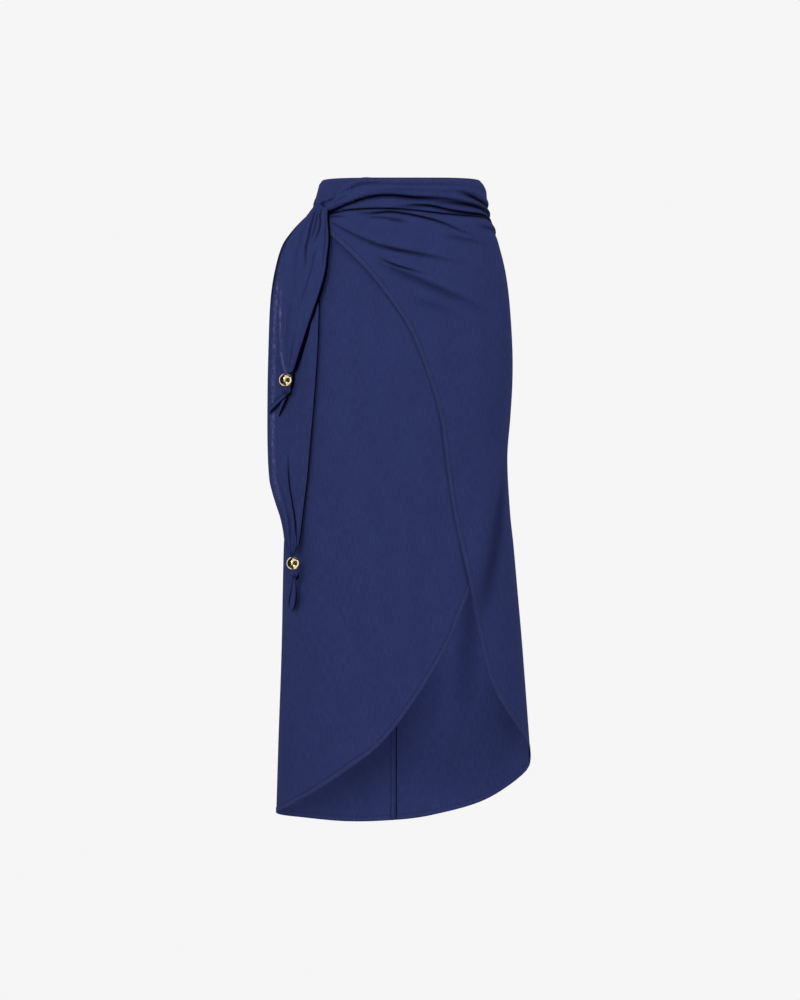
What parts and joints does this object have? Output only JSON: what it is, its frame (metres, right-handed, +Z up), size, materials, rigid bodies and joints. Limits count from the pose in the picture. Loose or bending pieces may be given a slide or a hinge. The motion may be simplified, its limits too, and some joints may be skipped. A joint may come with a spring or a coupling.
{
  "type": "wrap skirt",
  "caption": "Worn midi wrap skirt: gathered over front with a curved free edge, knotted at one side, with two hanging ties that end in round beads.",
  "frame": {"origin": "centre of the waist ring, 15 mm below the waist edge, where the wearer's waist holds the skirt", "axes": "+Z up along the wearer's body, -Y to the front, +X to the side that the wrap is sewn to; the ties hang on the -X side"},
  "size_m": [0.387, 0.2559, 0.9554],
  "materials": {
    "skirt_cloth": "matte, fine slubby crepe weave",
    "bead_metal": "polished gold"
  },
  "bodies": {
    "root": {"back_right": "skirt_cloth", "back_left": "skirt_cloth", "under_front": "skirt_cloth", "over_front": "skirt_cloth", "tie_root": "skirt_cloth", "tie_knot": "skirt_cloth", "short_tie": "skirt_cloth", "long_tie": "skirt_cloth", "short_bead": "bead_metal", "long_bead": "bead_metal", "short_tie_end": "skirt_cloth", "long_tie_end": "skirt_cloth"}
  },
  "joints": []
}
